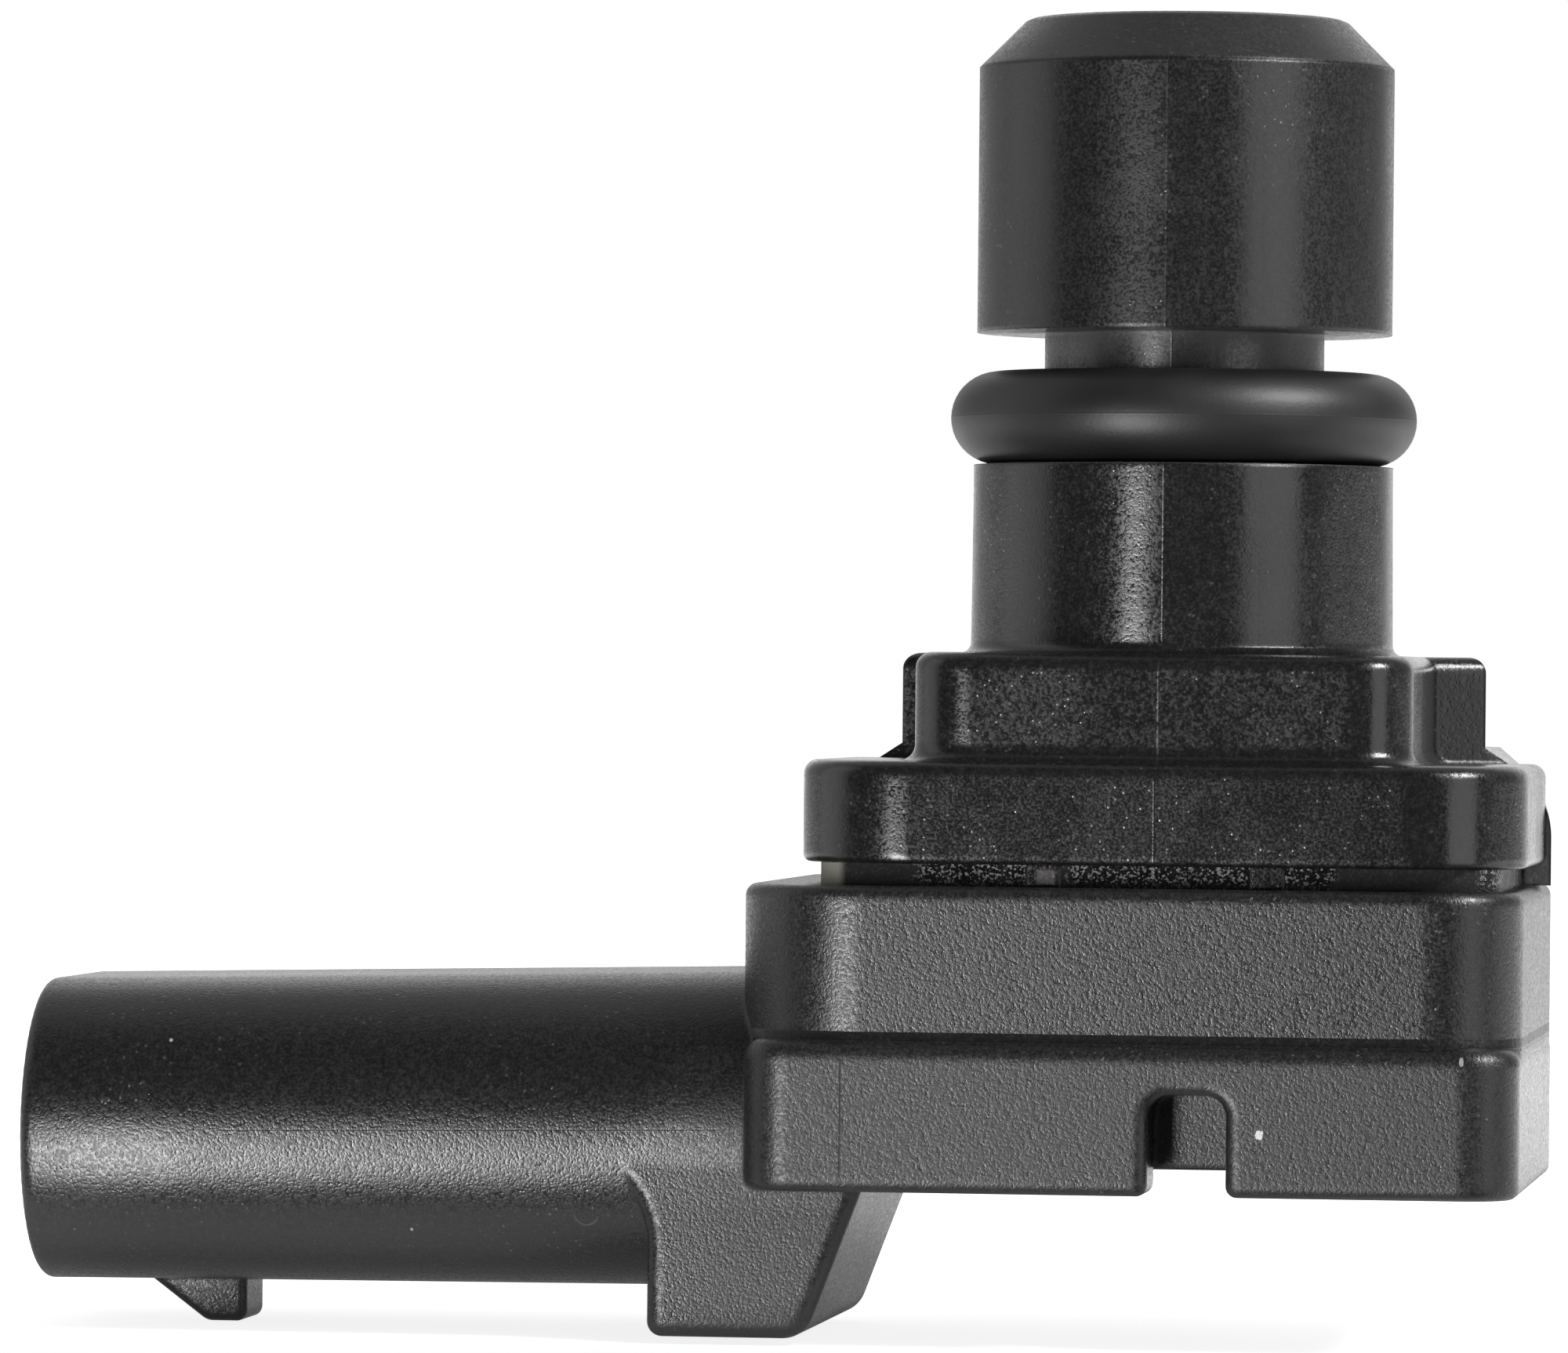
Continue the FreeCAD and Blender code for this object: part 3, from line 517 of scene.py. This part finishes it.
def sealant_material():
    """A dark bead, with runs of glittering grit that painted shade fades towards the bottom of
    the gap, and a paler left end.
    """
    s = Shade("cured_sealant")
    grit = s.cells(16000.0)
    lump = s.noise(2500.0, 3.0, 0.6)
    x, y, z = s.axes(s.place)
    # Painted shade: the pale grit drops to a small share towards the bottom of the gap, in
    # place of the shade under the flange
    upper = s.span(z, *GRIT_SHADE_FADE_Z, 0.15, 1.0)
    pale = s.product(s.span(grit["Color"], 0.6, 0.74), upper)
    runs = s.total(
        s.span(y, *GRIT_BEHIND_Y),
        *[s.within(x, *run, GRIT_RUN_FADE) for run in GRIT_RUNS_X],
        s.span(x, *GRIT_RIGHT_X),
    )
    crust = s.math("MINIMUM", s.total(runs, 0.05), 1.0)
    cured = s.ramp(lump, [(0.3, SEALANT_TONE * 0.4), (0.7, SEALANT_TONE)])
    left_end = s.product(
        s.span(x, *BEAD_LEFT_END_X, 0.8, 0.0, smooth=True),
        s.span(y, *BEAD_FRONT_Y, 1.0, 0.0),
    )
    bead = s.blend(left_end, cured, LEFT_END_COLOUR)
    s.set(
        Base_Color=s.blend(s.product(pale, crust, 0.75), bead, GRIT_COLOUR),
        Roughness=s.total(
            s.span(lump, 0.3, 0.7, 0.25, 0.5),
            s.span(crust, 0.0, 1.0, 0.45, 0.0),
        ),
        IOR=1.35,
    )
    lumps = s.total(
        s.product(grit["Distance"], 60 * MICRON),
        s.product(lump, 70 * MICRON),
    )
    s.relief(s.product(s.total(crust, 0.15), lumps))
    return s.mat


def metal_material(name, colour, rough, stretch):
    """Drawn, turned or plated metal. Its streaks are short along an axis of large stretch."""
    s = Shade(name)
    streak = s.noise(6000.0, 3.0, 0.6, stretch)
    wide = s.noise(500.0, 2.0, 0.5)
    low = tuple(c * 0.82 for c in colour)
    wear = s.total(s.product(streak, 0.6), s.product(wide, 0.4))
    s.set(
        Base_Color=s.blend(s.span(streak, 0.3, 0.7), low, colour),
        Metallic=1.0,
        Roughness=s.span(wear, 0.3, 0.7, rough - 0.07, rough + 0.09),
    )
    s.relief(s.product(streak, 1.5 * MICRON))
    return s.mat


def plain_material(
    name, colour, rough, spread=0.15, scale=4000.0, height=4 * MICRON, clear=0.0, ior=1.5,
):
    """A fired, cast or moulded surface with its own slight variation."""
    s = Shade(name)
    fine = s.noise(scale, 3.0, 0.6)
    wide = s.noise(scale / 14.0, 2.0, 0.5)
    low = tuple(c * (1 - spread) for c in colour)
    cloud = s.total(s.product(fine, 0.5), s.product(wide, 0.5))
    s.set(
        Base_Color=s.blend(s.span(cloud, 0.35, 0.65), low, colour),
        Roughness=s.span(wide, 0.3, 0.7, rough - 0.05, rough + 0.05),
        IOR=ior,
    )
    if clear:
        s.set(Transmission_Weight=clear)
    s.relief(s.product(fine, height))
    return s.mat


# Printed tracks on the board, counted per metre of its depth
TRACKS_PER_METRE = 900.0
TRACK_SHARE = 0.35
TRACK_END_X = -3.6 * MM


def board_material():
    """Alumina with darker printed tracks at its connector end."""
    s = Shade("board_ceramic")
    fine = s.noise(5000.0, 3.0, 0.6)
    x, y, z = s.axes(s.place)
    lane = s.math("FRACT", s.product(y, TRACKS_PER_METRE))
    track = s.product(
        s.math("LESS_THAN", lane, TRACK_SHARE), s.math("LESS_THAN", x, TRACK_END_X),
    )
    pale = s.ramp(fine, [(0.35, (0.78, 0.77, 0.72)), (0.65, (0.88, 0.87, 0.83))])
    s.set(
        Base_Color=s.blend(track, pale, (0.45, 0.42, 0.36)),
        Roughness=s.span(fine, 0.3, 0.7, 0.42, 0.6),
    )
    s.relief(s.total(s.product(fine, 5 * MICRON), s.product(track, 10 * MICRON)))
    return s.mat


def capacitor_material():
    """A brown fired ceramic."""
    s = Shade("capacitor_ceramic")
    fine = s.noise(6000.0, 3.0, 0.6)
    s.set(
        Base_Color=s.ramp(fine, [(0.3, (0.34, 0.25, 0.15)), (0.7, (0.5, 0.39, 0.26))]),
        Roughness=s.span(fine, 0.3, 0.7, 0.4, 0.55),
    )
    s.relief(s.product(fine, 4 * MICRON))
    return s.mat


def dress(names, material):
    for name in names:
        slots = nodes[name].data.materials
        for i in range(len(slots)):
            slots[i] = material


dress(["port_cover"], cover_material())
dress(["housing"], housing_material())
dress(["port_seal_ring"], rubber_material())
dress(
    ["mounting_sleeve"],
    metal_material("sleeve_steel", (0.62, 0.6, 0.55), 0.34, (1.0, 1.0, 12.0)),
)
dress(["cover_adhesive"], sealant_material())
dress(
    ["substrate_adhesive", "die_attach_adhesive"],
    plain_material("board_glue", (0.35, 0.35, 0.36), 0.6),
)
dress(["circuit_substrate"], board_material())
dress(
    ["glass_pedestal"],
    plain_material("pedestal_glass", (0.8, 0.86, 0.84), 0.2, spread=0.05, clear=0.85, ior=1.47),
)
dress(
    ["pressure_die", "signal_chip"],
    plain_material(
        "silicon", (0.1, 0.105, 0.13), 0.22, spread=0.3, scale=1500.0, height=1 * MICRON,
    ),
)
dress(["gel_dam"], plain_material("dam_plastic", (0.09, 0.09, 0.095), 0.45))
dress(
    ["die_bond_wires", "chip_bond_wires", "terminal_bond_wires"],
    metal_material("wire_metal", (0.82, 0.82, 0.83), 0.25, (1.0, 1.0, 1.0)),
)
dress(
    ["protective_gel"],
    plain_material(
        "clear_gel", (0.9, 0.93, 0.94), 0.08, spread=0.03, scale=900.0, clear=0.95, ior=1.41,
    ),
)
dress(
    ["terminal_supply", "terminal_ground", "terminal_signal"],
    metal_material("terminal_tin", (0.74, 0.73, 0.7), 0.3, (0.15, 1.0, 1.0)),
)
dress(["filter_capacitor_" + str(i) for i in range(1, 5)], capacitor_material())


# Studio: each lamp's name, azimuth, elevation, width, height and level
LAMPS = (
    ("key_low_left", -21.0, -18.0, 0.17, 0.52, 20.0),
    ("broad_right", 57.0, 18.0, 0.43, 1.4, 1.2),
    ("upper_right", 68.0, 42.0, 0.28, 0.18, 36.0),
)
LAMP_AIM = Vector(mm(-5.0, 0.0, -5.0))
LAMP_DISTANCE = 0.8


def add_lamp(name, azimuth, elevation, width, height, level):
    """A soft box that faces the part, with its compass direction measured as the camera's.

    The level is its brightness beside a white backdrop of 1."""
    a, e = math.radians(azimuth), math.radians(elevation)
    away = Vector((math.sin(a) * math.cos(e), -math.cos(a) * math.cos(e), math.sin(e)))
    data = bpy.data.lights.new(name, "AREA")
    data.shape = "RECTANGLE"
    data.size = width
    data.size_y = height
    data.energy = level * math.pi * width * height
    light = bpy.data.objects.new(name, data)
    scene.collection.objects.link(light)
    light.location = LAMP_AIM + away * LAMP_DISTANCE
    light.rotation_mode = "QUATERNION"
    light.rotation_quaternion = (-away).to_track_quat("-Z", "Y")
    light.visible_camera = False


for lamp in LAMPS:
    add_lamp(*lamp)


# The room's brightness: along the compass from the front, by height in degrees, and
# overhead from front to back
WALLS = (
    (-165.0, 1.0), (-143.0, 0.45), (-113.0, 0.45), (-105.0, 0.78), (-80.0, 0.78),
    (-68.0, 0.08), (72.0, 0.09), (80.0, 0.2), (143.0, 0.32), (162.0, 1.0),
)
WALL_BAND = ((-44.0, 0.0), (-30.0, 1.0), (40.0, 1.0), (50.0, 0.0))
BELOW = ((-66.0, 0.3), (-54.0, 0.12), (-42.0, 0.12), (-32.0, 0.0))
ABOVE = ((42.0, 0.0), (50.0, 1.0))
OVERHEAD = ((-0.3, 0.05), (0.25, 0.42))
DEGREES = 180 / math.pi


def studio_world():
    """A white backdrop behind the part, with dimmer walls at the sides and a dark front."""
    world = bpy.data.worlds.new("studio")
    scene.world = world
    world.use_nodes = True
    g = Graph(world.node_tree)
    back = g.tree.nodes["Background"]
    x, y, z = g.axes(g.add("ShaderNodeTexCoord").outputs["Generated"])

    def levels(value, reach, stops):
        """A run of levels along a value that goes as far to either side of none."""
        places = [((spot + reach) / (2 * reach), tone) for spot, tone in stops]
        return g.ramp(g.span(value, -reach, reach), places)

    compass = g.product(g.math("ARCTAN2", x, g.product(y, -1.0)), DEGREES)
    height = g.product(g.math("ARCSINE", z), DEGREES)
    walls = g.product(levels(compass, 180.0, WALLS), levels(height, 90.0, WALL_BAND))
    above = g.product(levels(height, 90.0, ABOVE), levels(y, 1.0, OVERHEAD))
    room = g.total(walls, g.total(levels(height, 90.0, BELOW), above))
    g.link(g.math("MAXIMUM", g.seen(), room), back.inputs["Strength"])
    back.inputs["Color"].default_value = (*grey(1.0), 1.0)


studio_world()


FLOOR_HALF = 1.6
FLOOR_FRONT_GAP = 0.5 * MM
FLOOR_DROP = 0.05 * MM
FLOOR_COLOUR = grey(0.7)
FLOOR_GLOW = 0.85
FLOOR_CLEAR_FROM = 0.05
FLOOR_CLEAR_TO = 0.12


def make_floor():
    """A pale table top just under the part, with the part at its front edge.

    It looks white to the camera and keeps a faint shadow. Away from the part it also looks
    pale in reflections."""
    mesh = bpy.data.meshes.new("floor")
    front = cad_box[0].y - FLOOR_FRONT_GAP
    level = cad_box[0].z - FLOOR_DROP
    corners = [
        (-FLOOR_HALF, front, level), (FLOOR_HALF, front, level),
        (FLOOR_HALF, FLOOR_HALF, level), (-FLOOR_HALF, FLOOR_HALF, level),
    ]
    mesh.from_pydata(corners, [], [(0, 1, 2, 3)])
    floor = bpy.data.objects.new("floor", mesh)
    scene.collection.objects.link(floor)
    mat = bpy.data.materials.new("pale_floor")
    mat.use_nodes = True
    g = Graph(mat.node_tree)
    g.tree.nodes.remove(g.tree.nodes["Principled BSDF"])
    diffuse = g.add("ShaderNodeBsdfDiffuse")
    diffuse.inputs["Color"].default_value = (*FLOOR_COLOUR, 1.0)
    glow = g.add("ShaderNodeEmission")
    reach = g.add("ShaderNodeVectorMath", operation="LENGTH")
    g.link(g.add("ShaderNodeTexCoord").outputs["Object"], reach.inputs[0])
    clear = g.span(reach.outputs["Value"], FLOOR_CLEAR_FROM, FLOOR_CLEAR_TO, 0.25, FLOOR_GLOW)
    glossy = g.add("ShaderNodeLightPath").outputs["Is Glossy Ray"]
    strength = g.math("MAXIMUM", g.product(g.seen(), FLOOR_GLOW), g.product(glossy, clear))
    g.link(strength, glow.inputs["Strength"])
    both = g.add("ShaderNodeAddShader")
    g.link(diffuse.outputs[0], both.inputs[0])
    g.link(glow.outputs[0], both.inputs[1])
    g.link(both.outputs[0], g.tree.nodes["Material Output"].inputs["Surface"])
    mesh.materials.append(mat)


make_floor()
